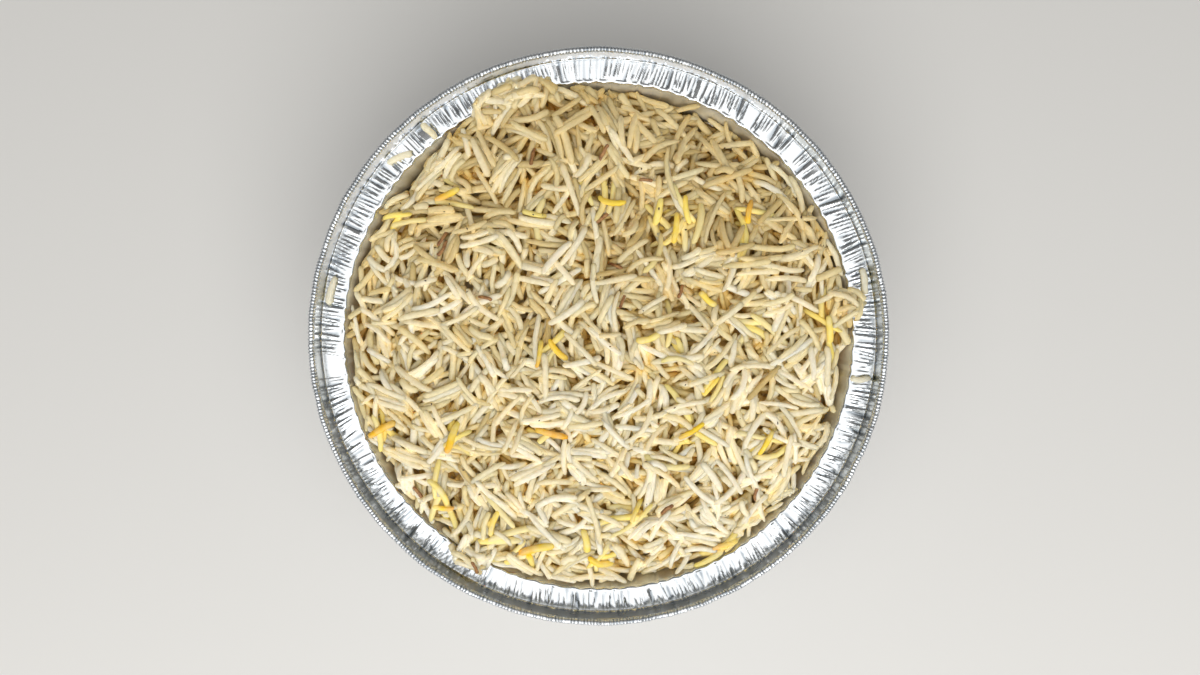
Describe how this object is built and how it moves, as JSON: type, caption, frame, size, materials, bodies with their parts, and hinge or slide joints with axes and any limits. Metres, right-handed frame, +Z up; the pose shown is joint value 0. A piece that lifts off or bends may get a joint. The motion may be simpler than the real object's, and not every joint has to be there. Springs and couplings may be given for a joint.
{
  "type": "bowl of basmati rice",
  "caption": "Round crimped foil pan with a ledge and standing lip, filled with a loose heap of cooked long-grain basmati rice; it rests on its flat base.",
  "frame": {"origin": "centre of the flat underside that the foil pan rests on", "axes": "+Z up out of the pan's mouth; +X to the right and +Y away from the viewer, who looks straight down with +Y at the top"},
  "size_m": [0.1828, 0.1828, 0.0523],
  "materials": {
    "foil": "thin crumpled aluminium foil, bright and half glossy, pleated on the ledge and crimped on the hem",
    "rice": "cooked basmati grains, ivory and slightly see-through with a moist soft gloss; some saffron yellow",
    "saffron_rice": "cooked basmati grains stained saffron yellow to orange, moist",
    "cumin": "dark brown ribbed cumin seeds and specks of spice"
  },
  "bodies": {
    "root": {"foil_pan": "foil", "rice_heap": "rice", "stray_grain_1": "rice", "stray_grain_2": "rice", "stray_grain_3": "rice", "stray_grain_4": "rice", "stray_grain_5": "rice"}
  },
  "joints": []
}
